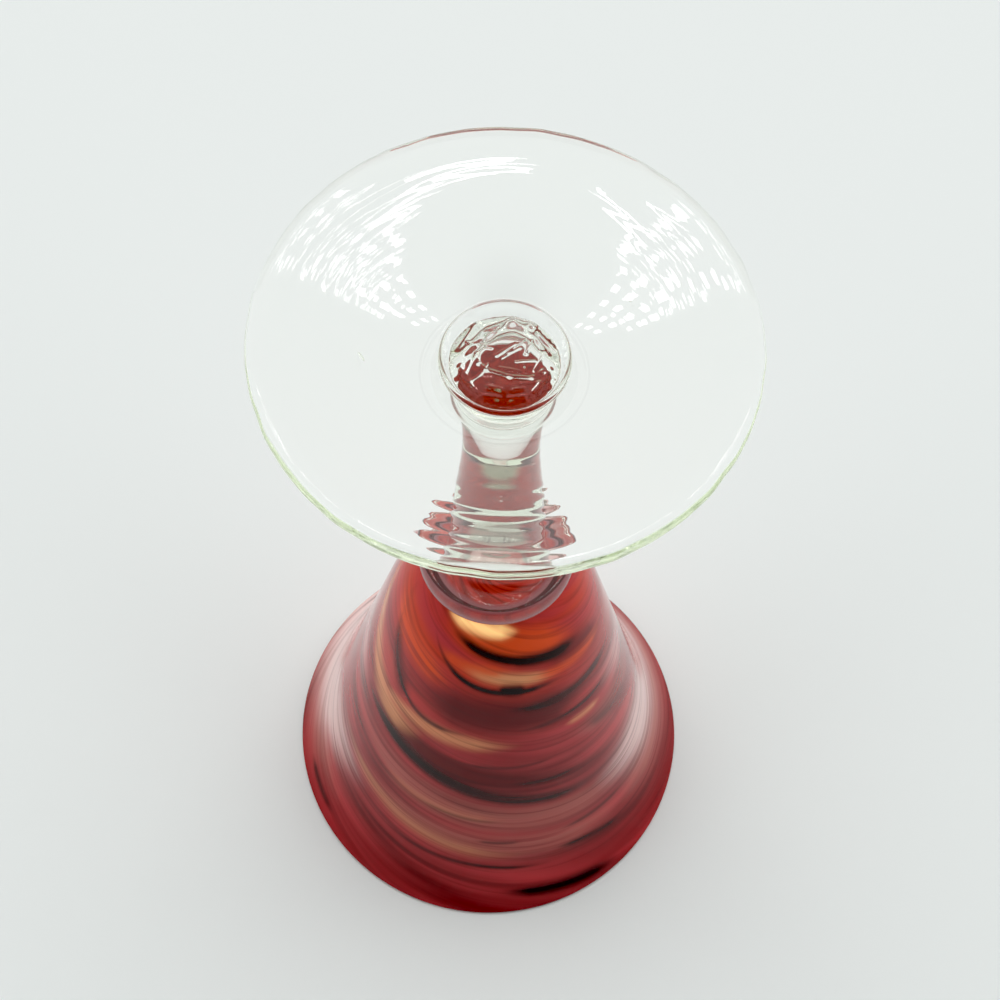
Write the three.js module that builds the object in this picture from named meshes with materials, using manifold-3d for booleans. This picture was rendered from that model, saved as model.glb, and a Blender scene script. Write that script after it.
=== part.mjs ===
// Blown water goblet with a swirl-coloured bowl, stood upside down on its rim.
// Millimetres, +Z up, origin at the centre of the rim plane.
// From the rim up: bowl, bowl button, stem, foot button, foot.

import * as THREE from "three";
import { mergeVertices } from "three/addons/utils/BufferGeometryUtils.js";
import Module from "manifold-3d";

// Bowl, outside
const RIM_RADIUS = 44.5; // widest point of the lip
const FLARE = 5; // how far the lip spreads past the straight taper
const FLARE_FALL = 9; // height in which the flare drops to about a third
const BOWL_HEIGHT = 101.6; // rim plane to the flat that carries the bowl button
const SHOULDER_RADIUS = 22.2; // where the taper begins to turn in to the base
const SHOULDER_DROP = 25; // from the base flat to where that turn begins
const SHOULDER_FULLNESS = 0.7; // share of the drop that still follows the taper
const LIP_ROUND = 0.7; // fire-polished corner of the lip

// Bowl, layers of the wall, measured square to the axis
const LINING_WALL = 1.2; // clear glass inside
const LINING_BASE = 6; // clear glass at the bottom of the bowl
const COAT_UNDER_TRAIL = 0.9; // red glass left below a wound trail
const COAT_BASE = 2.4; // red glass over the base
const TRAIL_THICKNESS = 0.7; // coloured trail, pressed in flush with the coat
const TRAIL_CLEARANCE = 0.3; // between a trail and its groove
const TRAIL_TIP = 0.25; // share of a trail's width left at its drawn-out ends
const TRAIL_MARGIN = 3; // plain glass between the trails and the lip or the base

// Stem and its two buttons
const STEM_BASE_RADIUS = 11; // where the stem spreads on to the bowl button
const STEM_SPREAD = 3.3; // how far the base spreads past the stem's lower part
const STEM_SPREAD_HEIGHT = 6; // how high up the stem that spread reaches
const STEM_COLUMN_HEIGHT = 24; // how far above the spread the stem tends to that thickness
const STEM_NECK_RADIUS = 5.2; // where it meets the foot button
const STEM_TAPER = 0.2; // how much the stem thickens below its neck
const STEM_TAPER_HEIGHT = 24; // how far down from the neck that reaches
const STEM_LENGTH = 53.5;
const BUTTON_HEIGHT = 5.4; // disc of glass between bowl and stem
const BUTTON_LEDGE = 1.6; // flat of the button showing round the stem
const BUTTON_ROUND = 2; // how far its edge swells past that flat
const BUTTON_OVERHANG = 2; // how far its edge stands out over the bowl's base
const BUTTON_BELLY = 0.45; // share of its height where the edge swells most
const FOOT_BUTTON_HEIGHT = 8.4; // bead of glass between stem and foot
const FOOT_BUTTON_LEDGE = 0.6; // step from the stem to the bead
const FOOT_BUTTON_SWELL = 2.4; // how far the bead swells past the stem
const FOOT_SEAT_SPREAD = 4.5; // how far the bead spreads where the foot is stuck on
const FOOT_BUTTON_BELLY = 0.3; // share of its height where the bead swells most
const FOOT_BUTTON_WAIST = 0.65; // share of its height where it bends out to the foot

// Foot
const FOOT_RADIUS = 38;
const FOOT_EDGE = 3.4; // thickness of the rounded edge
const FOOT_EDGE_ROUND = 1.6; // how far in from the edge the rounding reaches
const FOOT_BEARING = 1.7; // width of the flat ring that the upright glass stands on
const FOOT_DISH = 6.7; // depth of the hollow under the foot
const FOOT_DISH_FULLNESS = 0.75; // over 0.5 the hollow flattens towards the edge
const FOOT_CENTRE = 5.8; // glass between the foot button and that hollow
const FOOT_CONE_RISE = 5.5; // how steeply the foot leaves the foot button
const FOOT_CONE_RUN = 8; // and how far out that steep part reaches
const PONTIL_RADIUS = 10; // fire-polished scar where the working rod was
const PONTIL_BEVEL = 1.2; // width of the sloped ring round the scar
const PONTIL_DEPTH = 1.5;
const PONTIL_MOUND = 2; // how far the middle of the scar stands up again

// How finely the round surfaces are divided
const AROUND = 40;
const TAPER_STEPS = 10;
const STEM_STEPS = 9;
const CURVE_STEPS = 5;
const CORNER_STEPS = 3;
const LIP_CROWDING = 1.5; // over 1 the bowl's steps crowd towards the lip, where it curves most
const MERGE_DISTANCE = 1e-3;

// Sizes that follow from the ones above
const COAT_WALL = COAT_UNDER_TRAIL + TRAIL_CLEARANCE + TRAIL_THICKNESS;
const BUTTON_FLAT = STEM_BASE_RADIUS + BUTTON_LEDGE;
const BUTTON_RADIUS = BUTTON_FLAT + BUTTON_ROUND;
const SEAT_RADIUS = BUTTON_RADIUS - BUTTON_OVERHANG;
const FOOT_SEAT_RADIUS = STEM_NECK_RADIUS + FOOT_SEAT_SPREAD;
const BUTTON_LEVEL = BOWL_HEIGHT;
const STEM_LEVEL = BUTTON_LEVEL + BUTTON_HEIGHT;
const FOOT_BUTTON_LEVEL = STEM_LEVEL + STEM_LENGTH;
const FOOT_LEVEL = FOOT_BUTTON_LEVEL + FOOT_BUTTON_HEIGHT;

// The wound trails. Angles are in degrees from the front (-Y), growing towards +X.
// start and end say how high up the wound part of the bowl the trail begins and ends.
const BLACK = 0x1a0d10;
const AMBER = 0xc07a3c;
const ORANGE = 0xd8541c;
const MAUVE = 0x96565c;
const BROAD = 6; // full width of a trail
const MIDDLE = 5;
const NARROW = 3.5;
const TRAILS = [
  { name: "trail_black_crown", colour: BLACK, from: -36, sweep: 81, start: 0.99, end: 0.93, width: NARROW },
  { name: "trail_amber_crown", colour: AMBER, from: -18, sweep: 54, start: 0.93, end: 0.875, width: NARROW },
  { name: "trail_black_shoulder", colour: BLACK, from: -36, sweep: 90, start: 0.88, end: 0.81, width: NARROW },
  { name: "trail_amber_shoulder", colour: AMBER, from: -108, sweep: 126, start: 0.82, end: 0.62, width: BROAD },
  { name: "trail_orange_back", colour: ORANGE, from: 99, sweep: 135, start: 0.91, end: 0.71, width: MIDDLE },
  { name: "trail_black_side", colour: BLACK, from: 9, sweep: 72, start: 0.775, end: 0.71, width: NARROW },
  { name: "trail_black_waist", colour: BLACK, from: -72, sweep: 126, start: 0.58, end: 0.33, width: BROAD },
  { name: "trail_black_back", colour: BLACK, from: 90, sweep: 162, start: 0.55, end: 0.31, width: MIDDLE },
  { name: "trail_mauve_flare", colour: MAUVE, from: -54, sweep: 126, start: 0.22, end: 0.1, width: MIDDLE },
  { name: "trail_amber_back", colour: AMBER, from: 108, sweep: 126, start: 0.23, end: 0.09, width: MIDDLE },
  { name: "trail_black_rim", colour: BLACK, from: 9, sweep: 45, start: 0.02, end: 0, width: NARROW },
];

const wasm = await Module();
wasm.setup();

const at = (radius, height) => new THREE.Vector2(radius, height);

// The points of a quadratic curve after its first one.
function bend(from, handle, to) {
  return new THREE.QuadraticBezierCurve(from, handle, to).getPoints(CURVE_STEPS).slice(1);
}

// The points of a quarter ellipse after its first one. It leaves the first point along its handle.
function corner(from, to, handle) {
  const points = [];
  for (let step = 1; step <= CORNER_STEPS; step++) {
    const angle = (step / CORNER_STEPS) * (Math.PI / 2);
    const out = Math.sin(angle);
    const back = 1 - Math.cos(angle);
    points.push(
      at(
        from.x + (handle.x - from.x) * out + (to.x - handle.x) * back,
        from.y + (handle.y - from.y) * out + (to.y - handle.y) * back,
      ),
    );
  }
  return points;
}

// A solid of revolution about Z from a profile of radius and height.
function turned(profile) {
  return new THREE.LatheGeometry(profile, AROUND).rotateX(Math.PI / 2);
}

function solidOf(geometry) {
  const bare = new THREE.BufferGeometry().setAttribute("position", geometry.getAttribute("position"));
  bare.setIndex(geometry.index);
  const merged = mergeVertices(bare, MERGE_DISTANCE);
  return new wasm.Manifold(
    new wasm.Mesh({
      numProp: 3,
      vertProperties: merged.getAttribute("position").array,
      triVerts: new Uint32Array(merged.index.array),
    }),
  );
}

function geometryOf(solid) {
  const mesh = solid.getMesh();
  return new THREE.BufferGeometry()
    .setAttribute("position", new THREE.BufferAttribute(mesh.vertProperties, 3))
    .setIndex(new THREE.BufferAttribute(mesh.triVerts, 1));
}

// The bowl's outside above the rounded lip, up to where the shoulder turns in.
const SHOULDER_LEVEL = BOWL_HEIGHT - SHOULDER_DROP;
const TAPER = (RIM_RADIUS - FLARE - SHOULDER_RADIUS) / (SHOULDER_LEVEL - LIP_ROUND);

function taperRadius(height) {
  const above = height - LIP_ROUND;
  return RIM_RADIUS - TAPER * above - FLARE * (1 - Math.exp(-above / FLARE_FALL));
}

// One surface of the bowl from the lip to the axis, inset square to the axis and lowered at the base.
function bowlSurface(inset, lowered) {
  const turnLevel = SHOULDER_LEVEL - lowered;
  const points = [];
  for (let step = 0; step <= TAPER_STEPS; step++) {
    const share = step / TAPER_STEPS;
    const height = LIP_ROUND + (turnLevel - LIP_ROUND) * Math.pow(share, LIP_CROWDING);
    points.push(at(taperRadius(height) - inset, height));
  }
  const turn = points[points.length - 1];
  const reach = SHOULDER_DROP * SHOULDER_FULLNESS;
  const handle = at(turn.x - TAPER * reach, turn.y + reach);
  points.push(...bend(turn, handle, at(SEAT_RADIUS - inset, BOWL_HEIGHT - lowered)));
  points.push(at(0, BOWL_HEIGHT - lowered));
  return points;
}

const outside = bowlSurface(0, 0);
const between = bowlSurface(COAT_WALL, COAT_BASE);
const inside = bowlSurface(COAT_WALL + LINING_WALL, COAT_BASE + LINING_BASE);

// Radius of the bowl's outside at a height, along the same straight facets as the coat.
function outsideRadius(height) {
  const last = outside.length - 2;
  let next = outside.findIndex((point) => point.y >= height);
  next = THREE.MathUtils.clamp(next < 0 ? last : next, 1, last);
  const low = outside[next - 1];
  const high = outside[next];
  return low.x + ((high.x - low.x) * (height - low.y)) / (high.y - low.y);
}

// A trail's ring of points at one angle: outside from low to high, then the bottom back down.
function trailRing(angle, middle, width, proud, depth) {
  const heights = [middle - width / 2, middle, middle + width / 2];
  const ring = heights.map((height) => [outsideRadius(height) + proud, height]);
  ring.push(...heights.reverse().map((height) => [outsideRadius(height) - depth, height]));
  return ring.map(([radius, height]) => [radius * Math.sin(angle), -radius * Math.cos(angle), height]);
}

// A closed band through rings of points, all with the same number of points.
function bandGeometry(rings) {
  const size = rings[0].length;
  const index = [];
  const quad = (a, b, c, d) => index.push(a, b, c, a, c, d);
  for (let ring = 0; ring + 1 < rings.length; ring++) {
    const here = ring * size;
    const next = here + size;
    for (let k = 0; k < size; k++) {
      const after = (k + 1) % size;
      quad(here + k, next + k, next + after, here + after);
    }
  }
  const end = (rings.length - 1) * size;
  quad(0, 1, 4, 5);
  quad(1, 2, 3, 4);
  quad(end + 5, end + 4, end + 1, end);
  quad(end + 4, end + 3, end + 2, end + 1);
  return new THREE.BufferGeometry()
    .setAttribute("position", new THREE.Float32BufferAttribute(rings.flat(2), 3))
    .setIndex(index);
}

// A trail, or the groove for it when there is a clearance. It swells from drawn-out ends to its full width.
function trailBand(trail, clearance) {
  const lowest = LIP_ROUND + TRAIL_MARGIN + trail.width / 2;
  const highest = BOWL_HEIGHT - TRAIL_MARGIN - trail.width / 2;
  const stepAngle = 360 / AROUND;
  const steps = Math.round(trail.sweep / stepAngle);
  const proud = clearance ? COAT_WALL : 0;
  const rings = [];
  for (let step = 0; step <= steps; step++) {
    const share = step / steps;
    const height = lowest + (highest - lowest) * THREE.MathUtils.lerp(trail.start, trail.end, share);
    const swell = TRAIL_TIP + (1 - TRAIL_TIP) * Math.sin(Math.PI * share);
    const width = trail.width * swell + 2 * clearance;
    const past = clearance / outsideRadius(height);
    const ring = (extra) =>
      trailRing(
        THREE.MathUtils.degToRad(trail.from + step * stepAngle) + extra,
        height,
        width,
        proud,
        TRAIL_THICKNESS + clearance,
      );
    if (clearance && step === 0) rings.push(ring(-past));
    rings.push(ring(0));
    if (clearance && step === steps) rings.push(ring(past));
  }
  return bandGeometry(rings);
}

// Red coat: outside down to the lip, rounded there, flat on the rim plane, up the joint with the lining.
function coatGeometry() {
  const lip = outside[0];
  const edge = at(lip.x - LIP_ROUND, 0);
  const profile = [
    at(0, BOWL_HEIGHT - COAT_BASE),
    ...between.slice(0, -1).reverse(),
    at(between[0].x, 0),
    edge,
    ...corner(edge, lip, at(lip.x, 0)),
    ...outside.slice(1),
  ];
  let solid = solidOf(turned(profile));
  for (const trail of TRAILS) {
    solid = solid.subtract(solidOf(trailBand(trail, TRAIL_CLEARANCE)));
  }
  return geometryOf(solid);
}

// Clear lining: up its inside from the lip, then down the joint with the coat.
function liningGeometry() {
  const lip = inside[0];
  const round = Math.min(LIP_ROUND, LINING_WALL / 2);
  const start = at(lip.x, LIP_ROUND);
  const profile = [
    at(0, BOWL_HEIGHT - COAT_BASE - LINING_BASE),
    ...inside.slice(0, -1).reverse(),
    ...corner(start, at(lip.x + round, 0), at(lip.x, 0)),
    at(between[0].x, 0),
    ...between,
  ];
  return turned(profile);
}

// Bowl button: a flat disc with a rounded edge, its lower corner drawn in to the bowl's base.
function buttonGeometry() {
  const widest = at(BUTTON_RADIUS, BUTTON_HEIGHT * BUTTON_BELLY);
  const foot = at(SEAT_RADIUS, 0);
  return turned([
    at(0, 0),
    foot,
    ...corner(foot, widest, at(BUTTON_RADIUS, 0)),
    ...corner(widest, at(BUTTON_FLAT, BUTTON_HEIGHT), at(BUTTON_RADIUS, BUTTON_HEIGHT)),
    at(0, BUTTON_HEIGHT),
  ]);
}

// Stem: spreads a little at the bowl, stays thick, then draws in to a neck at the foot button.
function stemGeometry() {
  const base = at(STEM_BASE_RADIUS, 0);
  const column = at(STEM_BASE_RADIUS - STEM_SPREAD, STEM_SPREAD_HEIGHT);
  const curve = new THREE.CubicBezierCurve(
    column,
    at(column.x, column.y + STEM_COLUMN_HEIGHT),
    at(STEM_NECK_RADIUS + STEM_TAPER, STEM_LENGTH - STEM_TAPER_HEIGHT),
    at(STEM_NECK_RADIUS, STEM_LENGTH),
  );
  return turned([
    at(0, 0),
    base,
    ...bend(base, at(column.x, 0), column),
    ...curve.getPoints(STEM_STEPS).slice(1),
    at(0, STEM_LENGTH),
  ]);
}

// Foot button: a bead over the stem's end that bends out to the foot.
function footButtonGeometry() {
  const start = at(STEM_NECK_RADIUS + FOOT_BUTTON_LEDGE, 0);
  const bead = at(STEM_NECK_RADIUS + FOOT_BUTTON_SWELL, FOOT_BUTTON_HEIGHT * FOOT_BUTTON_BELLY);
  const end = at(FOOT_SEAT_RADIUS, FOOT_BUTTON_HEIGHT);
  const waist = at(bead.x, FOOT_BUTTON_HEIGHT * FOOT_BUTTON_WAIST);
  return turned([
    at(0, 0),
    start,
    ...corner(start, bead, at(bead.x, 0)),
    ...bend(bead, waist, end),
    at(0, FOOT_BUTTON_HEIGHT),
  ]);
}

// Foot: a shallow cone with a rounded edge, hollow underneath, with the pontil scar at its centre.
function footGeometry() {
  const height = FOOT_CENTRE + FOOT_DISH;
  const seat = at(FOOT_SEAT_RADIUS, 0);
  const edgeFrom = at(FOOT_RADIUS - FOOT_EDGE_ROUND, height - FOOT_EDGE);
  const edge = at(FOOT_RADIUS, height - FOOT_EDGE / 2);
  const bearingOut = at(FOOT_RADIUS - FOOT_EDGE_ROUND, height);
  const bearingIn = at(bearingOut.x - FOOT_BEARING, height);
  const pontil = at(PONTIL_RADIUS, FOOT_CENTRE);
  const dishHandle = at((pontil.x + bearingIn.x) / 2, FOOT_CENTRE + FOOT_DISH * FOOT_DISH_FULLNESS);
  const scarEdge = at(PONTIL_RADIUS - PONTIL_BEVEL, FOOT_CENTRE - PONTIL_DEPTH);
  const mound = at(0, scarEdge.y + PONTIL_MOUND);
  return turned([
    at(0, 0),
    seat,
    ...bend(seat, at(seat.x + FOOT_CONE_RUN, FOOT_CONE_RISE), edgeFrom),
    ...corner(edgeFrom, edge, at(FOOT_RADIUS, edgeFrom.y)),
    ...corner(edge, bearingOut, at(FOOT_RADIUS, height)),
    bearingIn,
    ...bend(bearingIn, dishHandle, pontil),
    scarEdge,
    ...bend(scarEdge, at(scarEdge.x / 2, mound.y), mound),
  ]);
}

// Materials
function clearGlass() {
  return new THREE.MeshStandardMaterial({
    color: 0xeaf3ea,
    roughness: 0.04,
    metalness: 0,
    transparent: true,
    opacity: 0.35,
  });
}

function colouredGlass(colour) {
  return new THREE.MeshStandardMaterial({ color: colour, roughness: 0.06, metalness: 0 });
}

const RED = 0x9c2228;

function piece(name, geometry, material, level = 0) {
  const mesh = new THREE.Mesh(geometry, material);
  mesh.name = name;
  mesh.position.z = level;
  return mesh;
}

const bowl = new THREE.Group();
bowl.add(piece("bowl_lining", liningGeometry(), clearGlass()));
bowl.add(piece("bowl_coat", coatGeometry(), colouredGlass(RED)));
for (const trail of TRAILS) {
  bowl.add(piece(trail.name, trailBand(trail, 0), colouredGlass(trail.colour)));
}

const support = new THREE.Group();
support.add(piece("bowl_button", buttonGeometry(), clearGlass(), BUTTON_LEVEL));
support.add(piece("stem", stemGeometry(), clearGlass(), STEM_LEVEL));
support.add(piece("foot_button", footButtonGeometry(), clearGlass(), FOOT_BUTTON_LEVEL));
support.add(piece("foot", footGeometry(), clearGlass(), FOOT_LEVEL));

const goblet = new THREE.Group();
goblet.add(bowl, support);

export default goblet;
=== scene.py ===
"""Looks of a blown water goblet, stood upside down on its rim.

The clear foot, buttons and stem are one fused piece of glass, and the bowl is a second one with the colour
wound round it. Metres, +Z up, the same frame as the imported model.
"""

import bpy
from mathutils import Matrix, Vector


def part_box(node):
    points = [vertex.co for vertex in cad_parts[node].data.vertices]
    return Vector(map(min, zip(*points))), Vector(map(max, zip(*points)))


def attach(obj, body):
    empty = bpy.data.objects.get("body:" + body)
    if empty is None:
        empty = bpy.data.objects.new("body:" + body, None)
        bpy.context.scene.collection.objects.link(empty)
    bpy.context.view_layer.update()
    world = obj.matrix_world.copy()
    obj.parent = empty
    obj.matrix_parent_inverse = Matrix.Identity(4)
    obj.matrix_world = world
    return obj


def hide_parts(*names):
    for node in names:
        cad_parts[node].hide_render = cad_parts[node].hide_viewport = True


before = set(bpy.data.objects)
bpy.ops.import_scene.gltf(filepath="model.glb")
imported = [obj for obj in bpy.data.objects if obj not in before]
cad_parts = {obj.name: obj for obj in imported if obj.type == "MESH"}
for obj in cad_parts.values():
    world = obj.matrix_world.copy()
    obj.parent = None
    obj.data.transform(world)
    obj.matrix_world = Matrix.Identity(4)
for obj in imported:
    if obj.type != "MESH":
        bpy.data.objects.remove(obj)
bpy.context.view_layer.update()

import math

import bmesh
import bpy
import numpy as np
from mathutils import Matrix, Vector

bl_info = {
    "name": "Blown Water Goblet",
    "version": (1, 0, 0),
    "blender": (4, 5, 0),
    "location": "View3D > Sidebar > Goblet",
    "description": "Builds the glass of a stemmed goblet with a swirl-coloured bowl, and its stage",
    "category": "Object",
}

MM = 0.001
TRAIL_NODES = [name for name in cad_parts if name.startswith("trail_")]


def linear(code):
    """An sRGB hex colour as linear red, green and blue."""
    parts = [int(code[i : i + 2], 16) / 255 for i in (1, 3, 5)]
    return tuple(c / 12.92 if c <= 0.04045 else ((c + 0.055) / 1.055) ** 2.4 for c in parts)


def length(name, description, default):
    """A size in metres that a user may change."""
    return bpy.props.FloatProperty(
        name=name, description=description, default=default, unit="LENGTH", precision=5, min=0.0
    )


def colour(name, description, code):
    """A colour that a user may change, from its sRGB hex code."""
    return bpy.props.FloatVectorProperty(
        name=name, description=description, default=linear(code), subtype="COLOR", min=0.0, max=1.0
    )


FOOT_LOW, FOOT_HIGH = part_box("foot")
FOOT_BUTTON_LOW, FOOT_BUTTON_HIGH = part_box("foot_button")
STEM_LOW, STEM_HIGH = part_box("stem")
BUTTON_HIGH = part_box("bowl_button")[1]
COAT_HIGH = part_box("bowl_coat")[1]


class GobletSizes(bpy.types.PropertyGroup):
    """Sizes of the glass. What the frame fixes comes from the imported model."""

    foot_radius: length("Foot radius", "Outside of the foot", FOOT_HIGH.x)
    foot_top: length("Foot level", "Height of the ring that the upright glass stands on", FOOT_HIGH.z)
    foot_edge: length("Foot edge", "Thickness of the rounded edge of the foot", 3.4 * MM)
    foot_edge_round: length("Foot edge rounding", "How far in the rounding reaches", 1.6 * MM)
    foot_edge_wave: length("Foot edge wave", "Unevenness of the edge round the foot", 0.03 * MM)
    foot_dish: length("Foot dish", "Depth of the hollow under the foot", 6.7 * MM)
    foot_bearing: length("Foot bearing", "Width of the ring that the upright glass stands on", 1.7 * MM)
    foot_cone_run: length("Foot cone run", "How far out the steep part of the foot reaches", 8 * MM)
    foot_cone_rise: length("Foot cone rise", "How steeply the foot leaves its button", 5.5 * MM)
    pontil_radius: length("Pontil radius", "From the axis to the lip round the scar", 9.2 * MM)
    pontil_bevel: length("Pontil bevel", "Width of the slope from the scar up to its lip", 0.9 * MM)
    pontil_depth: length("Pontil depth", "Depth of the scar", 1.5 * MM)
    pontil_mound: length("Pontil mound", "How far the middle of the scar stands up again", 2 * MM)
    pontil_lip: length("Pontil lip", "Height of the rounded lip round the scar", 0.35 * MM)
    pontil_lip_width: length("Pontil lip width", "How far out that lip reaches", 0.7 * MM)
    pontil_lean: length("Pontil lean", "How far the scar's mound leans to the front", 0.9 * MM)
    chatter_height: length("Pontil chatter", "Height of the small marks inside the scar's lip", 0.05 * MM)
    foot_seat: length("Foot seat level", "Where the foot is stuck to its button", FOOT_LOW.z)
    foot_seat_radius: length("Foot seat radius", "Radius of the foot button there", FOOT_BUTTON_HIGH.x)
    ripple_length: length("Tool mark spacing", "From one ring of tool marks to the next", 1.8 * MM)
    ripple_height: length("Tool mark height", "Height of the rings of tool marks on the foot", 0.014 * MM)
    foot_button_low: length("Foot button level", "Where the foot button meets the stem", FOOT_BUTTON_LOW.z)
    bead_ledge: length("Bead ledge", "Step from the stem to the foot button", 0.6 * MM)
    bead_swell: length("Bead swell", "How far the foot button swells past the stem", 2.4 * MM)
    stem_neck: length("Stem neck", "Radius of the stem at the foot button", 5.2 * MM)
    stem_taper: length("Stem taper", "How much the stem thickens below its neck", 0.2 * MM)
    stem_taper_height: length("Stem taper height", "How far down from the neck that reaches", 24 * MM)
    stem_column_height: length("Stem column", "How far up the stem stays as thick as at its base", 24 * MM)
    stem_base: length("Stem base", "Radius where the stem spreads on to the bowl button", STEM_HIGH.x)
    stem_spread: length("Stem spread", "How far the base spreads past the stem's lower part", 3.3 * MM)
    stem_spread_height: length("Stem spread height", "How high up the stem that spread reaches", 6 * MM)
    stem_low: length("Stem level", "Where the stem meets the bowl button", STEM_LOW.z)
    button_radius: length("Bowl button radius", "Outside of the disc between stem and bowl", BUTTON_HIGH.x)
    button_round: length("Bowl button rounding", "How far its edge swells past its flat", 1.2 * MM)
    button_overhang: length("Bowl button overhang", "How far it stands out over the bowl's base", 2 * MM)
    bowl_height: length("Bowl height", "Rim to the base of the bowl", COAT_HIGH.z)
    rim_radius: length("Rim radius", "Outside of the lip", COAT_HIGH.x)
    flare: length("Flare", "How far the lip spreads past the straight taper", 5 * MM)
    flare_fall: length("Flare fall", "Height in which the flare drops to about a third", 9 * MM)
    shoulder_radius: length("Shoulder radius", "Where the taper turns in to the base", 22.2 * MM)
    shoulder_drop: length("Shoulder drop", "From the base to where that turn begins", 25 * MM)
    shoulder_reach: length("Shoulder reach", "How far up the turn still follows the taper", 17.5 * MM)
    wall: length("Wall", "Thickness of the bowl, square to its axis", 3.1 * MM)
    base: length("Base", "Thickness of the bottom of the bowl", 8.4 * MM)
    lip_round: length("Lip rounding", "Fire-polished corner of the lip", 0.7 * MM)
    wind_lead: length("Wind lead", "How far the wound colour climbs in a full turn", 50 * MM)


class GobletColours(bpy.types.PropertyGroup):
    """Colours of the glass and of the stage."""

    clear: colour("Clear glass", "Slight green of thick clear glass", "#D6E4B4")
    # Painted light: the brighter red of the upper part stands for light coming through the glass there
    red: colour("Red", "Bright red of the bowl's upper part", "#CE3C26")
    crimson: colour("Crimson", "Main red of the bowl", "#C43C40")
    maroon: colour("Maroon", "Deep red", "#6C0A10")
    orange: colour("Orange", "Warm trails near the bowl's base", "#F0582A")
    amber: colour("Amber", "Pale trails", "#F0A272")
    # Painted glow: pale orange lit by emission, painted light where light comes through next to the button
    painted_glow: colour("Pale orange", "Thin place in the colour next to the bowl's button", "#FFC884")
    mauve: colour("Mauve", "Dull trails in the bowl's lower part", "#BA645C")
    # Painted sheen: pale pink light painted on the bowl's sides, where they mirror the bright room, and at
    # the back next to the button
    painted_sheen: colour("Blush", "Palest trails, at the sides", "#F2CCC8")
    black: colour("Black", "Dark trails", "#1A0709")
    base_red: colour("Base red", "Red of the bowl's base, seen down through the stem", "#EE483E")
    # Painted reflection: this mauve ring stands for the room mirrored in the bowl button's rounded edge
    painted_base_sheen: colour("Base ring", "Dull ring near the edge of the bowl's base", "#C87880")
    base_pale: colour("Bare base", "Back of the bowl's base, with no colour wound on", "#E2D8CC")
    floor: colour("Floor", "Plain pale floor", "#EAEDEC")


def add_node(tree, kind, inputs=None, **settings):
    """Adds a shader node with its settings.

    Each named or numbered input gets a value, or a socket to link.
    """
    node = tree.nodes.new("ShaderNode" + kind)
    for name, value in settings.items():
        setattr(node, name, value)
    for key, value in (inputs or {}).items():
        if isinstance(value, bpy.types.NodeSocket):
            tree.links.new(value, node.inputs[key])
        else:
            node.inputs[key].default_value = value
    return node


def new_material(name):
    """An empty node material and its tree."""
    material = bpy.data.materials.new(name)
    material.use_nodes = True
    material.node_tree.nodes.clear()
    return material, material.node_tree


# Outlines

SAMPLE = 0.3 * MM  # spacing of points along an outline
SCAR_SAMPLE = 0.18 * MM  # and across the pontil scar
DISH_SAMPLE = 0.4 * MM  # in the hollow of the foot
LEDGE_SAMPLE = 0.2 * MM  # on the ledge of the foot button
STEM_SAMPLE = 0.8 * MM  # down the stem
TURN_SAMPLE = 0.5 * MM  # round the bowl's shoulder and across its lip
BASE_SAMPLE = 1.0 * MM  # across the bowl's base
AROUND = 240  # points in each ring
CORNER_STEPS = 8  # points of a rounded corner
EDGE_STEPS = 10  # and of each half of the foot's edge
LIP_STEPS = 6  # and of each corner of the bowl's lip
CURVE_STEPS = 4  # fewest points of a curve


def line(start, end, spacing=SAMPLE):
    """Points of a straight stretch, without its first one."""
    start, end = np.array(start), np.array(end)
    count = max(1, math.ceil(np.linalg.norm(end - start) / spacing))
    steps = np.linspace(0, 1, count + 1)[1:, None]
    return start + (end - start) * steps


def curve(*handles, spacing=SAMPLE):
    """Points of a Bezier curve with three or four handles, without its first one."""
    handles = np.array(handles)
    reach = np.linalg.norm(np.diff(handles, axis=0), axis=1).sum()
    share = np.linspace(0, 1, max(CURVE_STEPS, math.ceil(reach / spacing)) + 1)[1:, None]
    levels = [handle[None, :] for handle in handles]
    while len(levels) > 1:
        levels = [a * (1 - share) + b * share for a, b in zip(levels, levels[1:])]
    return levels[0]


def corner(start, handle, end, count=CORNER_STEPS):
    """Points of a quarter ellipse that leaves start towards handle, without its first one."""
    start, handle, end = np.array(start), np.array(handle), np.array(end)
    angle = np.linspace(0, math.pi / 2, count + 1)[1:, None]
    return start + (handle - start) * np.sin(angle) + (end - handle) * (1 - np.cos(angle))


def revolve(name, outline, shift=None):
    """A closed mesh of revolution about Z. The outline starts and ends on the axis.

    shift, if given, takes the radius, height and angle of all points and returns their radius and height.
    """
    angle = np.arange(AROUND) * (2 * math.pi / AROUND)
    radius = np.repeat(outline[1:-1, :1], AROUND, 1)
    height = np.repeat(outline[1:-1, 1:], AROUND, 1)
    if shift:
        radius, height = shift(radius, height, angle[None, :])
    rings = np.stack([radius * np.sin(angle), -radius * np.cos(angle), height], 2)
    count = len(rings)
    ends = np.array([[0, 0, outline[0, 1]], [0, 0, outline[-1, 1]]])
    points = np.concatenate([rings.reshape(-1, 3), ends])
    here = np.arange(AROUND)
    after = (here + 1) % AROUND
    ring = (np.arange(count - 1) * AROUND)[:, None]
    quads = np.stack([ring + here, ring + AROUND + here, ring + AROUND + after, ring + after], 2)
    last = (count - 1) * AROUND
    caps = [(count * AROUND, a, b) for a, b in zip(here.tolist(), after.tolist())]
    caps += [(count * AROUND + 1, last + b, last + a) for a, b in zip(here.tolist(), after.tolist())]
    mesh = bpy.data.meshes.new(name)
    mesh.from_pydata(points.tolist(), [], quads.reshape(-1, 4).tolist() + caps)
    mesh.validate()
    mesh.shade_smooth()
    piece = bpy.data.objects.new(name, mesh)
    bpy.context.scene.collection.objects.link(piece)
    return piece


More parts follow.
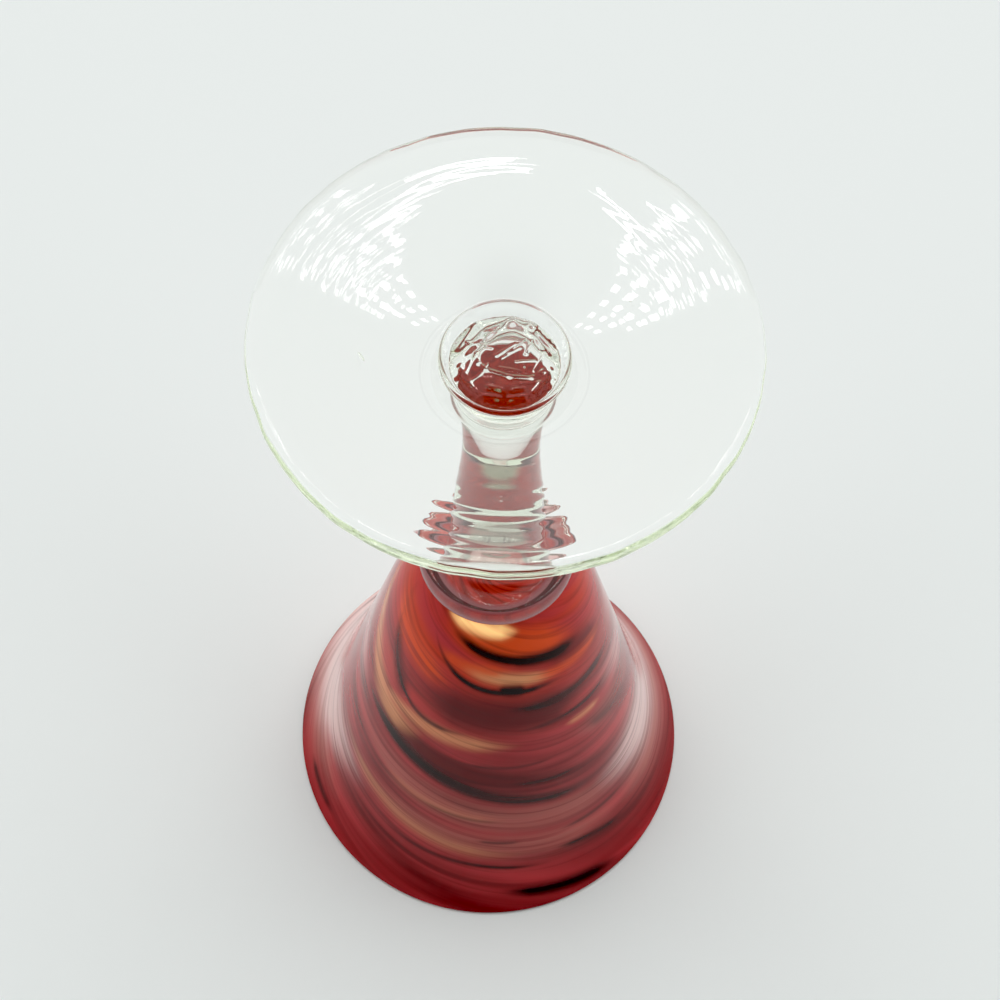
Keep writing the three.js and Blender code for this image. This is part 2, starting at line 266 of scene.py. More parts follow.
# Handles of the clear glass's curves, as shares of the stretch that each one bends
MOUND_HANDLE = 0.5
BEVEL_HANDLE = 0.5
LIP_HANDLE = 0.7
DISH_HANDLE = 0.75
BEAD_HANDLE = 0.65
BEAD_WIDEST = 0.3  # height of the foot button's widest place, as a share of its own height
BUTTON_WIDEST = 0.45  # and of the bowl button's
SUNK = 0.15 * MM  # the button reaches this far into the bowl, as fused glass does
SUNK_RUN = 0.3 * MM  # from the button's edge inwards, where it gets there


def clear_outline(s):
    """Radius and height along the clear glass, from the pontil over the foot and stem to the bowl."""
    dish = s.foot_top - s.foot_dish
    inner = s.pontil_radius - s.pontil_bevel
    pontil_floor = dish - s.pontil_depth
    mound = (0, pontil_floor + s.pontil_mound)
    bevel_low = (inner, pontil_floor)
    bevel_handle = (inner + BEVEL_HANDLE * s.pontil_bevel, bevel_low[1])
    lip = (s.pontil_radius, dish + s.pontil_lip)
    lip_handle = (s.pontil_radius + LIP_HANDLE * s.pontil_lip_width, lip[1])
    lip_end = (s.pontil_radius + s.pontil_lip_width, dish)
    bearing_out = (s.foot_radius - s.foot_edge_round, s.foot_top)
    bearing_in = (bearing_out[0] - s.foot_bearing, s.foot_top)
    mid_dish = ((s.pontil_radius + bearing_in[0]) / 2, dish + DISH_HANDLE * s.foot_dish)
    edge = (s.foot_radius, s.foot_top - s.foot_edge / 2)
    edge_under = (s.foot_radius - s.foot_edge_round, s.foot_top - s.foot_edge)
    seat = (s.foot_seat_radius, s.foot_seat)
    bead_height = s.foot_seat - s.foot_button_low
    bead_start = (s.stem_neck + s.bead_ledge, s.foot_button_low)
    bead = (s.stem_neck + s.bead_swell, s.foot_button_low + BEAD_WIDEST * bead_height)
    neck = (s.stem_neck, s.foot_button_low)
    base = (s.stem_base, s.stem_low)
    column = (s.stem_base - s.stem_spread, s.stem_low + s.stem_spread_height)
    flat = (s.button_radius - s.button_round, s.stem_low)
    button_mid = (s.button_radius, s.bowl_height + BUTTON_WIDEST * (s.stem_low - s.bowl_height))
    button_seat = (s.button_radius - s.button_overhang, s.bowl_height)
    return np.concatenate(
        [
            [mound],
            curve(mound, (inner * MOUND_HANDLE, mound[1]), bevel_low, spacing=SCAR_SAMPLE),
            curve(bevel_low, bevel_handle, lip, spacing=SCAR_SAMPLE),
            curve(lip, lip_handle, lip_end, spacing=SCAR_SAMPLE),
            curve(lip_end, mid_dish, bearing_in, spacing=DISH_SAMPLE),
            line(bearing_in, bearing_out),
            corner(bearing_out, (s.foot_radius, s.foot_top), edge, EDGE_STEPS),
            corner(edge, (s.foot_radius, edge_under[1]), edge_under, EDGE_STEPS),
            curve(edge_under, (seat[0] + s.foot_cone_run, seat[1] + s.foot_cone_rise), seat),
            curve(seat, (bead[0], s.foot_button_low + BEAD_HANDLE * bead_height), bead),
            corner(bead, (bead[0], bead_start[1]), bead_start),
            line(bead_start, neck, LEDGE_SAMPLE),
            curve(
                neck,
                (s.stem_neck + s.stem_taper, s.foot_button_low - s.stem_taper_height),
                (column[0], column[1] + s.stem_column_height),
                column,
                spacing=STEM_SAMPLE,
            ),
            curve(column, (column[0], base[1]), base),
            line(base, flat),
            corner(flat, (s.button_radius, s.stem_low), button_mid),
            corner(button_mid, (s.button_radius, s.bowl_height), button_seat),
            line(button_seat, (button_seat[0] - SUNK_RUN, s.bowl_height - SUNK)),
            [(0, s.bowl_height - SUNK)],
        ]
    )


# Ridges that the broken-off rod left in the pontil scar: both ends in millimetres, then width and height.
SCAR_RIDGES = [
    (-5.0, 0.2, -2.7, 4.1, 0.7, 0.5),
    (-2.7, 4.1, 0.8, 6.7, 0.9, 0.6),
    (0.8, 6.7, 3.9, 6.2, 0.9, 0.5),
    (3.9, 6.2, 5.4, 2.4, 0.6, 0.4),
    (-1.2, -0.2, 1.5, 2.4, 0.3, 0.24),
    (-0.4, -0.6, 2.1, 1.7, 0.25, 0.16),
    (3.1, 0.6, 3.9, 3.2, 0.3, 0.22),
    (-4.2, 0.2, -3.9, -1.5, 0.3, 0.2),
    (-3.9, -1.5, -2.7, -2.8, 0.3, 0.22),
    (-2.7, -2.8, 0.8, -3.9, 0.3, 0.22),
    (0.8, -3.9, 4.2, -3.6, 0.3, 0.22),
    (4.2, -3.6, 5.8, -1.9, 0.35, 0.2),
    (-3.2, -6.6, -0.6, -7.0, 0.35, 0.2),
    (0.8, -7.0, 3.2, -6.4, 0.35, 0.2),
    (-7.2, 1.9, -4.6, 6.0, 0.9, 0.5),
    (2.3, 5.8, 6.9, 1.5, 0.7, 0.4),
    (-6.6, -1.6, -4.8, -5.0, 0.4, 0.2),
    (6.8, -1.4, 4.6, -5.4, 0.4, 0.18),
    (-5.6, 2.6, -2.2, 1.4, 0.3, 0.16),
    (-5.6, -2.6, -4.6, 0.4, 0.2, 0.16),
    (-4.6, 0.4, -3.0, 2.2, 0.2, 0.16),
    (-3.6, 2.4, -1.6, 4.6, 0.22, 0.2),
    (-2.6, -1.8, -3.4, -3.4, 0.2, 0.16),
    (-3.4, -3.4, -5.0, -4.4, 0.2, 0.16),
    (-2.4, -5.4, -0.4, -5.8, 0.3, 0.3),
    (1.4, -5.8, 3.0, -5.4, 0.3, 0.3),
    (1.6, -1.2, 4.6, -0.4, 0.18, 0.14),
    (0.4, 0.4, 2.8, 3.6, 0.2, 0.16),
    (4.4, -2.4, 5.8, 1.2, 0.2, 0.18),
    (2.4, -4.8, 5.2, -4.0, 0.2, 0.16),
    (-0.8, -2.4, 2.4, -2.8, 0.18, 0.12),
    (-6.4, -3.4, -3.6, -6.2, 0.2, 0.18),
    (6.4, -3.0, 3.8, -6.2, 0.2, 0.18),
]

LEAN_SCALE = 2.6  # makes the greatest lift of the leaning mound about equal to the lean
CHATTER_MARKS = 40  # small marks round the scar
CHATTER_DRIFT = ((3, 3, 0.0),)  # size, count round the foot and phase of their unevenness
CHATTER_WIDTH = 0.5 * MM
SCAR_FADE = 1 * MM  # run over which the scar's marks fade towards its lip

# Rings of the forming tool, on the foot's sloped side and in its hollow
RING_START = 6 * MM  # from the foot's seat out to the first ring
RING_RISE = 9 * MM  # run over which the rings grow to their full height
EDGE_FADE = 1 * MM  # run over which they fade towards the foot's edge
BEARING_FADE = 2 * MM  # and, in the hollow, towards the ring that the upright glass stands on
SLOPE_SHARE = 0.9  # how much of its height the sloped side loses from the edge to the first ring
SLOPE_ROOM = 2.2 * MM  # points of the sloped side lie no further than this above that slope
DISH_SHIFT = 0.7 * MM  # how far the hollow's rings lie off those of the sloped side
DISH_RIPPLE = 0.45  # height of the hollow's rings, as a share of those of the sloped side
RING_WANDER = ((1.3, 2, 0.4), (0.9, 5, 2.1), (0.5, 9, 4.0))  # size, count round the foot and phase
RING_STRENGTH = 0.7  # mean share of their full height
STRENGTH_SWIRL = 0.3  # how much that share changes round the foot
SWIRL_COUNT = 3
SWIRL_START = 1.0
SWIRL_RUN = 4 * MM  # run outwards that turns those changes by a radian
STRENGTH_LEFT = 0.4  # how much stronger the rings are at the left, and weaker at the right
SECOND_HEIGHT = 0.8  # of a second, wider set of rings, as a share of the first
SECOND_COUNT = 0.61  # rings of that set for each one of the first
SECOND_START = 1.7
SECOND_WANDER = ((0.8, 4, 0.0),)

EDGE_WAVES = ((1, 17, 0.3), (1, 29, 1.1), (1, 41, 2.3))


def waves(angle, parts):
    """Sum of waves round the foot, each with its size, count and phase."""
    return sum(size * np.sin(count * angle + phase) for size, count, phase in parts)


def hand_marks(s):
    """Marks of hand work on the foot: rings of the forming tool, the pontil scar and an uneven edge."""
    low, high = s.foot_seat, s.foot_top - s.foot_edge
    inner, outer = s.foot_seat_radius + RING_START, s.foot_radius - s.foot_edge_round
    bearing = outer - s.foot_bearing

    def tool_rings(radius, height, angle):
        slope_level = high - (outer - radius) / (outer - inner) * (high - low) * SLOPE_SHARE
        sloped_side = (height < slope_level + SLOPE_ROOM) & (height < high)
        on_foot = (radius > inner) & (radius < outer) & (height > low)
        rise = np.clip((radius - inner) / RING_RISE, 0, 1)
        to_edge = np.clip((outer - radius) / EDGE_FADE, 0, 1)
        to_bearing = np.clip((bearing - radius) / BEARING_FADE, 0, 1)
        fade = rise * np.where(sloped_side, to_edge, to_bearing)
        turn = (radius + np.where(sloped_side, 0, DISH_SHIFT)) / s.ripple_length * 2 * math.pi
        swirl = STRENGTH_SWIRL * np.sin(SWIRL_COUNT * angle + SWIRL_START + radius / SWIRL_RUN)
        strength = RING_STRENGTH + swirl - STRENGTH_LEFT * np.sin(angle)
        first = np.sin(turn + waves(angle, RING_WANDER))
        second = SECOND_HEIGHT * np.sin(turn * SECOND_COUNT + SECOND_START + waves(angle, SECOND_WANDER))
        size = s.ripple_height * np.where(sloped_side, 1.0, DISH_RIPPLE)
        return np.where(on_foot, size * strength * fade * (first + second), 0)

    def scar(radius, height, angle):
        x, y = radius * np.sin(angle) / MM, -radius * np.cos(angle) / MM
        share = radius / s.pontil_radius
        lift = -LEAN_SCALE * s.pontil_lean * y * MM / s.pontil_radius * np.clip(1 - share**2, 0, None)
        for x0, y0, x1, y1, width, ridge in SCAR_RIDGES:
            run = (x1 - x0) ** 2 + (y1 - y0) ** 2
            along = np.clip(((x - x0) * (x1 - x0) + (y - y0) * (y1 - y0)) / run, 0, 1)
            gap = np.hypot(x - x0 - along * (x1 - x0), y - y0 - along * (y1 - y0))
            lift = lift + ridge * MM * np.exp(-((gap / width) ** 2))
        slope_start = s.pontil_radius - s.pontil_bevel
        marks = np.sin(CHATTER_MARKS * angle + waves(angle, CHATTER_DRIFT))
        chatter = marks * np.exp(-(((radius - slope_start) / CHATTER_WIDTH) ** 2))
        lift = lift + s.chatter_height * chatter
        in_scar = height > s.foot_seat + s.pontil_depth
        return np.where(in_scar, lift * np.clip((s.pontil_radius - radius) / SCAR_FADE, 0, 1), 0)

    def edge_wave(radius, angle):
        on_edge = np.clip((radius - outer) / s.foot_edge_round, 0, 1)
        return s.foot_edge_wave * on_edge * (waves(angle, EDGE_WAVES) - len(EDGE_WAVES))

    def shift(radius, height, angle):
        lift = tool_rings(radius, height, angle) + scar(radius, height, angle)
        return radius + edge_wave(radius, angle), height + lift

    return shift


# Air seeds trapped in the clear glass: middle, half sizes and turn about Z, in millimetres and degrees.
SEEDS = [
    ((2.7, -4.4, 141.5), (0.24, 0.24, 0.3), 0),
    ((0.3, -5.2, 139.5), (0.26, 0.26, 0.32), 0),
    ((-2.4, 1.8, 133.0), (0.2, 0.2, 0.3), 0),
    ((-21.4, -2.4, 175.6), (0.22, 0.85, 0.2), 35),
    ((18.6, 9.5, 175.8), (0.14, 0.3, 0.14), 60),
]


def blow_seeds(mesh):
    """Adds the seeds as small hollows, with their faces turned towards the air in them."""
    work = bmesh.new()
    work.from_mesh(mesh)
    for middle, half, turn in SEEDS:
        place = Matrix.Translation(Vector(middle) * MM) @ Matrix.Rotation(math.radians(turn), 4, "Z")
        made = bmesh.ops.create_icosphere(
            work, subdivisions=3, radius=1.0, matrix=place @ Matrix.Diagonal((*(Vector(half) * MM), 1))
        )
        faces = {face for point in made["verts"] for face in point.link_faces}
        bmesh.ops.reverse_faces(work, faces=list(faces))
    work.to_mesh(mesh)
    work.free()
    mesh.shade_smooth()


def bowl_radius(s, height):
    """Outside of the bowl below its shoulder."""
    above = height - s.lip_round
    taper = (s.rim_radius - s.flare - s.shoulder_radius) / (s.bowl_height - s.shoulder_drop - s.lip_round)
    return s.rim_radius - taper * above - s.flare * (1 - np.exp(-above / s.flare_fall))


OUTSIDE_RINGS = 150  # rings of points from the lip to the shoulder
INSIDE_RINGS = 70
LIP_CROWDING = 1.2  # above 1, the rings lie closer together towards the lip


def bowl_surface(s, inset, lowered, count):
    """One surface of the bowl from lip to axis, inset square to the axis and lowered at the base."""
    turn = s.bowl_height - s.shoulder_drop - lowered
    heights = s.lip_round + (turn - s.lip_round) * np.linspace(0, 1, count) ** LIP_CROWDING
    side = np.stack([bowl_radius(s, heights) - inset, heights], 1)
    slope = (side[-1] - side[-2]) / (side[-1][1] - side[-2][1])
    handle = side[-1] + slope * s.shoulder_reach
    seat = np.array([s.button_radius - s.button_overhang - inset, s.bowl_height - lowered])
    shoulder = curve(side[-1], handle, seat, spacing=TURN_SAMPLE)
    return np.concatenate([side, shoulder, line(seat, (0, seat[1]), BASE_SAMPLE)])


def bowl_outline(s):
    """Radius and height from the base of the bowl down its outside, over the lip and up its inside."""
    outside = bowl_surface(s, 0, 0, OUTSIDE_RINGS)[::-1]
    inside = bowl_surface(s, s.wall, s.base, INSIDE_RINGS)
    lip_out = (s.rim_radius - s.lip_round, 0)
    lip_in = (inside[0][0] + s.lip_round, 0)
    return np.concatenate(
        [
            outside,
            corner(outside[-1], (s.rim_radius, 0), lip_out, LIP_STEPS),
            line(lip_out, lip_in, TURN_SAMPLE),
            corner(lip_in, (inside[0][0], 0), inside[0], LIP_STEPS),
            inside[1:],
        ]
    )


# The wound trails, and painted light laid on as trails (the painted sheen and painted glow): colour, width
# and strength, then the angle from the front in degrees and the height in millimetres of the points that
# each one passes.
TRAILS = [
    ("maroon", 12.0, 0.95, [(-44, 76.2), (0, 74.7), (60, 71.7)]),
    ("maroon", 8.0, 0.85, [(-76, 98.2), (-66, 87.2), (-55, 76.2), (-40, 71.2)]),
    ("maroon", 5.0, 0.6, [(5, 69.2), (45, 66.2), (88, 61.2)]),
    ("maroon", 8.0, 0.75, [(24, 92.2), (50, 87.2), (84, 81.2)]),
    ("maroon", 6.0, 0.3, [(-24, 56.2), (15, 53.2), (64, 49.2)]),
    ("mauve", 10.0, 0.7, [(-80, 49.2), (-30, 39.2), (20, 32.2), (78, 25.2)]),
    ("mauve", 9.0, 0.65, [(-66, 29.2), (0, 23.2), (66, 16.2)]),
    ("mauve", 8.0, 0.5, [(35, 59.2), (60, 55.2), (104, 49.2)]),
    ("mauve", 10.0, 0.75, [(-150, 3), (-112, 7), (-86, 9), (-52, 8)]),
    ("mauve", 11.0, 0.8, [(48, 17), (84, 14), (108, 10), (150, 5)]),
    ("amber", 5.0, 0.4, [(-78, 32.2), (-30, 24.2), (20, 18.2)]),
    ("amber", 3.8, 0.3, [(-52, 38.2), (-10, 35.2), (14, 33.8)]),
    ("amber", 7.6, 0.7, [(-110, 98.2), (-94, 87.2), (-85, 75.2), (-72, 66.2), (-48, 61.2), (-26, 62.2)]),
    ("amber", 4.6, 0.68, [(-76, 63.2), (-45, 64.2), (-15, 64.4), (18, 63.2)]),
    ("amber", 2.2, 0.5, [(36, 64.2), (48, 62.8), (62, 61.2)]),
    ("amber", 3.2, 0.95, [(-22, 90), (0, 88), (20, 86.2), (42, 83.7)]),
    ("orange", 8.0, 0.75, [(-88, 94.2), (-50, 87.2), (-18, 82.2)]),
    ("orange", 7.0, 0.95, [(-40, 98.7), (10, 96.2), (64, 91.2)]),
    ("orange", 4.0, 0.6, [(-38, 91.2), (-10, 89.8), (16, 90.2)]),
    ("orange", 3.0, 0.7, [(18, 86.2), (45, 84.2), (84, 81.2)]),
    # Painted glow next to the button, lit by emission
    ("painted_glow", 2.9, 1.0, [(-42, 100.7), (-12, 99.8), (22, 98.6)]),
    ("black", 2.4, 1.0, [(-36, 99), (-20, 96.2), (-3, 94), (13, 92.2), (30, 90.4), (54, 87.8)]),
    ("black", 3.0, 1.0, [(0, 93.6), (28, 90.6), (62, 88.4)]),
    ("black", 1.7, 0.95, [(-44, 97.2), (-33, 91.2), (-20, 86.8), (0, 83.8), (20, 82.4), (46, 81)]),
    ("black", 3.2, 1.0, [(2, 84), (12, 83.4), (22, 82.8)]),
    ("black", 1.5, 0.75, [(-74, 98.2), (-66, 87.2), (-56, 76.7), (-46, 69.6), (-34, 67.6), (-6, 67.2)]),
    ("black", 2.8, 0.8, [(4, 77.2), (40, 75.2), (84, 72.2)]),
    ("black", 1.5, 0.6, [(8, 69), (45, 67.2), (78, 64.2)]),
    (
        "black",
        4.6,
        0.85,
        [(-84, 58.2), (-60, 56.4), (-45, 52.2), (-25, 48), (0, 44.2), (28, 39.2), (66, 33.7)],
    ),
    ("black", 5.0, 0.5, [(42, 60.2), (66, 52.2), (90, 46.2)]),
    ("black", 1.3, 0.55, [(-18, 56.6), (10, 55.2), (38, 54.2)]),
    ("black", 1.5, 0.6, [(8, 48.7), (25, 46.8), (44, 44.8)]),
    ("black", 1.2, 0.45, [(-32, 36.2), (-12, 34.2), (12, 32.8)]),
    ("black", 1.3, 0.55, [(-5, 25.2), (6, 24.2), (16, 23.8)]),
    ("black", 1.5, 0.55, [(26, 23.8), (45, 21.8), (62, 19.8)]),
    ("black", 1.4, 0.7, [(-42, 18), (-10, 15.6), (10, 14), (28, 12)]),
    ("black", 2.0, 0.7, [(24, 17.2), (40, 14.2), (56, 10.8)]),
    ("black", 2.6, 1.0, [(4, 6.2), (24, 4.2), (48, 2)]),
    ("black", 1.6, 0.7, [(-78, 4.2), (-66, 3.8), (-54, 3.6)]),
    # Painted sheen on the sides: a pale reflection of the bright room, painted into the colour
    ("painted_sheen", 12.0, 0.5, [(-168, 81.2), (-132, 72.2), (-100, 61.2), (-60, 49.2)]),
    ("painted_sheen", 17.0, 1.0, [(-205, 7.2), (-160, 4.2), (-122, 8.2), (-92, 18.2), (-75, 22.2), (-46, 24.2)]),
    ("painted_sheen", 12.0, 0.5, [(54, 68.2), (96, 59.2), (132, 50.2), (172, 41.2)]),
    ("painted_sheen", 16.0, 1.0, [(42, 32.2), (72, 28.2), (90, 24.2), (134, 18.2), (186, 12.2)]),
    ("orange", 6.0, 0.8, [(95, 92.2), (160, 83.2), (240, 70.2)]),
    # Painted sheen at the back, next to the button
    ("painted_sheen", 4.6, 1.0, [(126, 100.7), (180, 98.2), (234, 95.2)]),
    ("maroon", 15.0, 1.0, [(92, 97.2), (180, 89.2), (268, 83.2)]),
    ("black", 7.0, 0.95, [(116, 93.2), (180, 86.2), (244, 78.2)]),
    ("black", 9.0, 0.7, [(116, 69.2), (180, 60.2), (244, 51.2)]),
    ("black", 9.0, 0.7, [(112, 27.2), (180, 17.2), (248, 8.2)]),
    ("maroon", 9.0, 0.7, [(80, 83.2), (160, 73.2), (250, 61.2)]),
    ("black", 2.6, 0.9, [(118, 81.2), (170, 75.2), (236, 65.2)]),
    ("amber", 3.4, 0.7, [(100, 63.2), (160, 56.2), (230, 48.2)]),
    ("black", 5.0, 0.95, [(88, 56.2), (170, 46.2), (256, 34.2)]),
    ("mauve", 8.0, 0.6, [(100, 37.2), (180, 27.2), (260, 19.2)]),
    ("amber", 3.6, 0.6, [(106, 24.2), (170, 16.2), (238, 9.2)]),
    ("black", 2.4, 0.8, [(150, 8.2), (190, 5.2), (236, 2.6)]),
]
# Each of these colours lies over those before it
TRAIL_COLOURS = ("maroon", "mauve", "painted_sheen", "amber", "orange", "painted_glow", "black")
TRAIL_END = 0.25  # share of a trail in which it fades out at each end
TRAIL_TIP = 0.3  # width of a trail at its ends, as a share of its full width
TRAIL_SWELL = 0.6  # the lower, the sooner a trail swells to its full width
TRAIL_FALL = 2.2  # how quickly a trail fades to its sides
TRAIL_BENDS = 3  # highest power of a trail's curve
WIND_APART = 37.0  # sets the streaks at the back apart from those at the front
SIDE_START = 70  # degrees from the front, where its streaks begin to give way to those at the back
SIDE_RUN = 50  # degrees in which they do
SEAT_SLACK = 0.01 * MM  # how far below the top of the bowl a point may lie and still be on its base
BARE_AT = 13.5  # mm from the axis to the middle of the bare place, at the back of the base
BARE_REACH = (6.5, 9.5)  # mm from that middle, where the bare place begins to fade and where it ends


def store(mesh, name, values):
    """Keeps one number, or three, for each point of a mesh."""
    kind = "FLOAT" if values.ndim == 1 else "FLOAT_VECTOR"
    attribute = mesh.attributes.new(name, kind, "POINT")
    attribute.data.foreach_set("value" if kind == "FLOAT" else "vector", values.astype(np.float32).ravel())


def wind_colour(s, mesh):
    """Stores, for each point of the bowl, its place along and across the winding and in each trail."""
    points = np.zeros(len(mesh.vertices) * 3, np.float32)
    mesh.vertices.foreach_get("co", points)
    x, y, height = points.reshape(-1, 3).T.astype(float)
    seat = s.button_radius - s.button_overhang
    on_base = height > s.bowl_height - SEAT_SLACK
    under_button = np.where(on_base, np.clip(seat - np.hypot(x, y), 0, None), 0)
    height = height + under_button
    angle = np.arctan2(x, -y)
    back_angle = np.where(angle < 0, angle + 2 * math.pi, angle)
    middle = bowl_radius(s, s.bowl_height / 2)

    def place(turn, offset):
        across = height + s.wind_lead * turn / (2 * math.pi)
        return np.stack([turn * middle / MM, across / MM, np.full_like(turn, offset)], 1)

    store(mesh, "wind_front", place(angle, 0.0))
    store(mesh, "wind_back", place(back_angle - math.pi, WIND_APART))
    side = np.degrees(np.abs(angle))
    store(mesh, "wind_side", np.clip((side - SIDE_START) / SIDE_RUN, 0, 1))
    store(mesh, "height", height / s.bowl_height)
    store(mesh, "under_button", under_button / MM)
    bare = np.hypot(x, y - BARE_AT * MM) / MM
    store(mesh, "bare", np.where(under_button > 0, np.interp(bare, BARE_REACH, (1, 0)), 0))
    layers = {layer: np.zeros_like(height) for layer in TRAIL_COLOURS}
    for layer, width, strength, path in TRAILS:
        places, levels = np.array(path).T
        bend = np.polyfit(places, levels, min(TRAIL_BENDS, len(path) - 1))
        here = places[0] + (np.degrees(angle) - places[0]) % 360
        share = (here - places[0]) / (places[-1] - places[0])
        swell = TRAIL_TIP + (1 - TRAIL_TIP) * np.sin(math.pi * np.clip(share, 0, 1)) ** TRAIL_SWELL
        off = np.abs(height / MM - np.polyval(bend, np.minimum(here, places[-1]))) / (width * swell)
        ends = np.clip(np.minimum(share, 1 - share) / TRAIL_END, 0, 1)
        layers[layer] = np.maximum(layers[layer], strength * ends * np.exp(-TRAIL_FALL * off**2))
    for layer, amount in layers.items():
        store(mesh, "trail_" + layer, np.where(under_button > 0, 0, amount))


# Materials

GLASS_IOR = 1.52
TINT_DENSITY = 11.0  # per metre, how soon light in the clear glass turns green
BROAD_STREAKS = (60, 9, 2)  # mm along the winding, mm across it, and detail of the noise
FINE_STREAKS = (45, 1.6, 3)
NOISE_ROUGHNESS = 0.55
NOISE_DISTORTION = 0.3
MOTTLE_SPAN = (0.36, 0.62)  # of the broad streaks, from the darker red to the brighter one
CROWN_SPAN = (0.62, 0.88)  # of the bowl's height, in which its reds turn brighter: painted light, for light coming through the glass near the button
FEATHER = 0.6  # how far the fine streaks fray the edges of the trails
LINE_SPAN = (0.34, 0.52)  # of the fine streaks, from thin dark lines to none
LINE_DEPTH = 0.3  # how dark those lines are
ARC_SPAN = (0.36, 0.56)  # of the fine streaks, from dark arcs in the red of the base to none
ARC_LEAST = 0.45  # share of the red that is left in those arcs
BASE_RINGS = (("maroon", 0.0, 0.2), ("painted_base_sheen", 0.9, 1.0))  # mm in from the edge of the bowl's base. The mauve ring is a painted reflection of the button's rounded edge
BASE_MIDDLE = (1.4, 2.3)  # mm in from there, where its red begins and where it is full
WOUND_ROUGHNESS = 0.1
WOUND_CLEAR = 0.15  # share of the light that gets through the colour
GLOSS = 0.13  # of the bowl's outside. Where it is fused to the button, there is nothing to mirror
GLOSS_END = 0.3  # mm in from the edge of the base, where the gloss has gone
GLOW_LIGHT = 0.65  # strength of the painted glow: emission that stands for light coming through the bowl from inside
GLOW_START = 0.2  # how far into the painted glow trail that light begins
BOARD_ROUGHNESS = 0.8


def soda_lime_glass(colours):
    """Clear soda-lime glass, worked hot and fire-polished.

    To the eye it has no grain and sharp glints, and is slightly green where light goes far in it.
    """
    material, tree = new_material("Soda-lime glass, fire-polished")
    shader = add_node(
        tree,
        "BsdfPrincipled",
        {"Base Color": (1, 1, 1, 1), "Roughness": 0.0, "IOR": GLASS_IOR, "Transmission Weight": 1.0},
    )
    depth = add_node(tree, "VolumeAbsorption", {"Color": (*colours.clear, 1), "Density": TINT_DENSITY})
    add_node(tree, "OutputMaterial", {"Surface": shader.outputs[0], "Volume": depth.outputs[0]})
    return material


def wound_streaks(tree, along, across, detail):
    """Noise drawn out along the winding, by millimetres along and across it, with no seam."""
    found = []
    for side in ("wind_front", "wind_back"):
        place = add_node(tree, "Attribute", attribute_name=side)
        drawn = add_node(
            tree,
            "VectorMath",
            {0: place.outputs["Vector"], 1: (1 / along, 1 / across, 1.0)},
            operation="MULTIPLY",
        )
        noise = add_node(
            tree,
            "TexNoise",
            {
                "Vector": drawn.outputs[0],
                "Scale": 1.0,
                "Detail": detail,
                "Roughness": NOISE_ROUGHNESS,
                "Distortion": NOISE_DISTORTION,
            },
        )
        found.append(noise.outputs["Fac"])
    side = add_node(tree, "Attribute", attribute_name="wind_side")
    return add_node(tree, "Mix", {0: side.outputs["Fac"], 2: found[0], 3: found[1]}).outputs[0]


